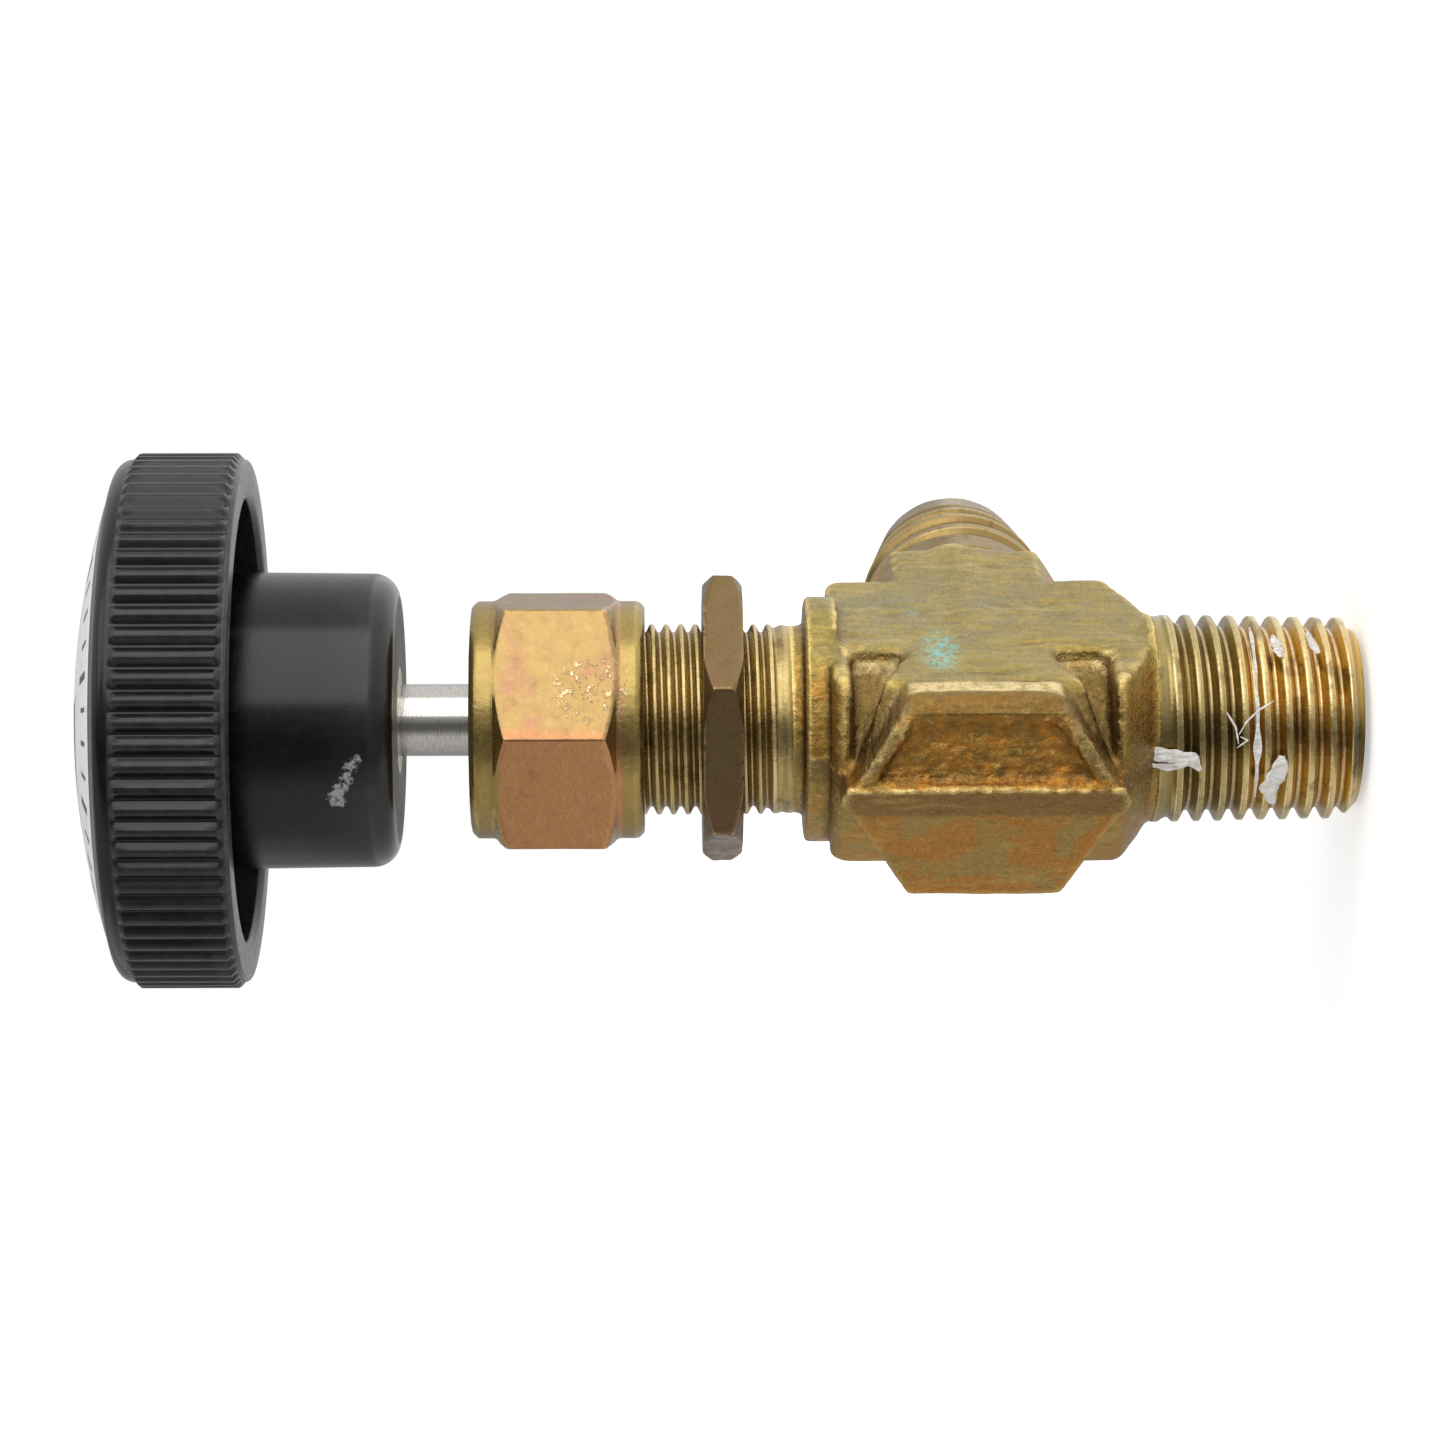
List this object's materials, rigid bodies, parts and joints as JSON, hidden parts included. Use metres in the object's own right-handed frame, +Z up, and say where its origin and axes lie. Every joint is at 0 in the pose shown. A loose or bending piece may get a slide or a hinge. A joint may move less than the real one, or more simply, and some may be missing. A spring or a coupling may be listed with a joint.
{
  "type": "flow control valve",
  "caption": "Angle-pattern needle valve with a panel-mount bonnet and a fluted knob, for metering flow between two threaded ports.",
  "frame": {"origin": "centre of the inlet's end face", "axes": "+Z up the stem to the knob, +X along the outlet, Y = 0 is the plane where the forging dies met"},
  "size_m": [0.0455, 0.0356, 0.0851],
  "materials": {
    "body_brass": "forged, dull and tarnished",
    "panel_nut_brass": "satin, browned",
    "nut_brass": "machined, lightly tarnished",
    "stainless": "polished",
    "phenolic": "satin black moulding",
    "ptfe": "waxy white",
    "screw_steel": "black oxide",
    "label": "printed face"
  },
  "bodies": {
    "body": {"valve_body": "body_brass", "packing_nut": "nut_brass", "packing_washer": "stainless", "lower_packing": "ptfe", "upper_packing": "ptfe", "gland": "nut_brass"},
    "panel_nut": {"panel_nut": "panel_nut_brass"},
    "needle": {"needle_tip": "stainless"},
    "handle": {"stem": "stainless", "knob": "phenolic", "knob_insert": "nut_brass", "knob_set_screw": "screw_steel", "knob_label": "label"}
  },
  "joints": [
    {"name": "panel_nut_travel", "type": "slide", "parent": "body", "child": "panel_nut", "axis": [0, 0, 1], "range_m": [-0.0022, 0.0038]},
    {"name": "stem_lift", "type": "slide", "parent": "body", "child": "needle", "axis": [0, 0, 1], "range_m": [-0.00272, 0.00181]},
    {"name": "handle_turn", "type": "hinge", "parent": "needle", "child": "handle", "pos_m": [0, 0, 0], "axis": [0, 0, 1], "range_deg": [-1080, 720]}
  ],
  "couplings": [
    {"joint": "stem_lift", "follows": "handle_turn", "m_per_rad": 0.00014435}
  ]
}
